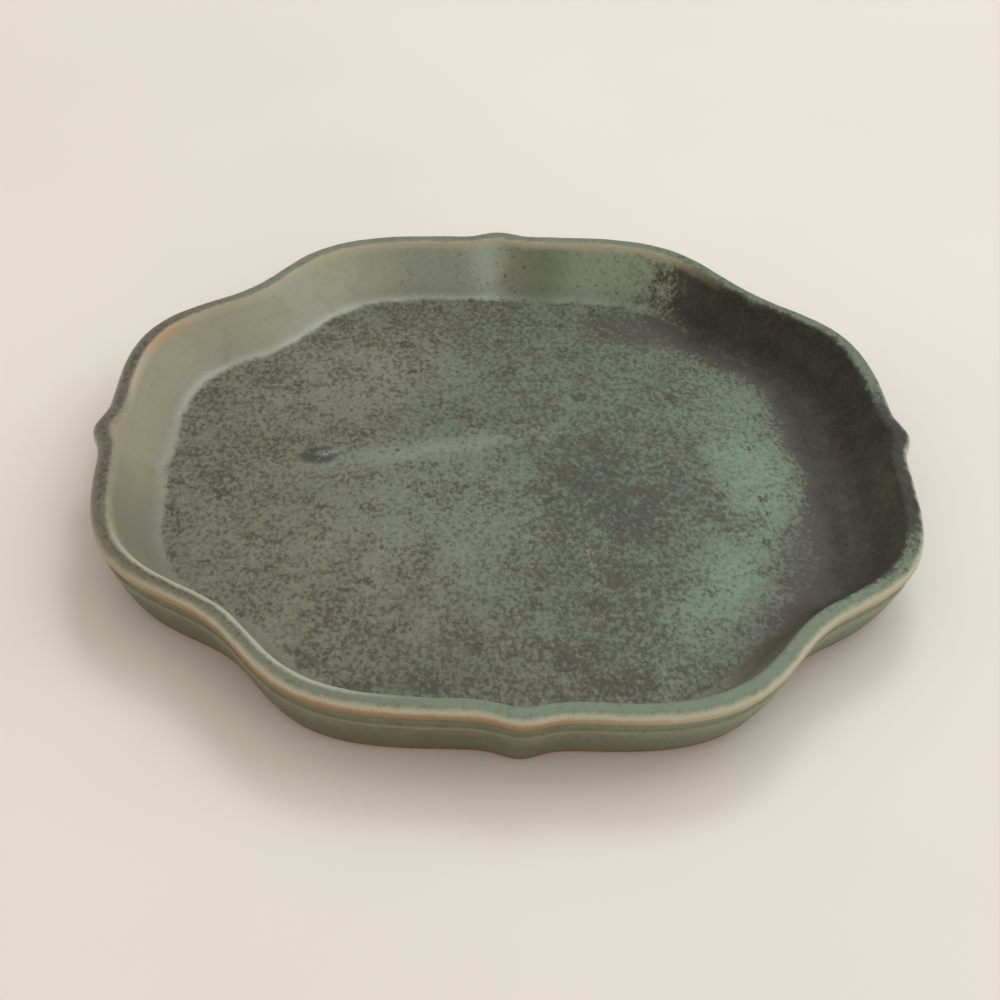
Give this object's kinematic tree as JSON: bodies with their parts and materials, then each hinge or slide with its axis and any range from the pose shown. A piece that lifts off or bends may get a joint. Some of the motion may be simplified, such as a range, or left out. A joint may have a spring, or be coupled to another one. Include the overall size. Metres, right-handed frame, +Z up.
{
  "type": "bonsai tray",
  "caption": "Shallow four-lobed glazed stoneware water tray for a bonsai pot, with pointed sides, notched corners, rolled rim, raised string line and bare clay foot.",
  "frame": {"origin": "on the ground under the middle of the tray", "axes": "+Z up; X and Y run through the middle points of the four sides; the pictured front is towards -Y"},
  "size_m": [0.18, 0.18, 0.016],
  "materials": {
    "bare_clay": "unglazed fired stoneware, orange brown, matt and slightly gritty",
    "outer_glaze": "satin olive green glaze, lighter on the raised line",
    "rim_glaze": "satin grey green glaze, breaking to cream and ochre on its edges",
    "inner_glaze": "satin green glaze with dense fine brown and black iron speckle, dark iron patch on one side"
  },
  "bodies": {
    "root": {"foot_ring": "bare_clay", "floor_slab": "bare_clay", "wall": "bare_clay", "string_line": "bare_clay", "rim_roll": "bare_clay", "outer_glaze": "outer_glaze", "rim_glaze": "rim_glaze", "inner_glaze": "inner_glaze"}
  },
  "joints": []
}
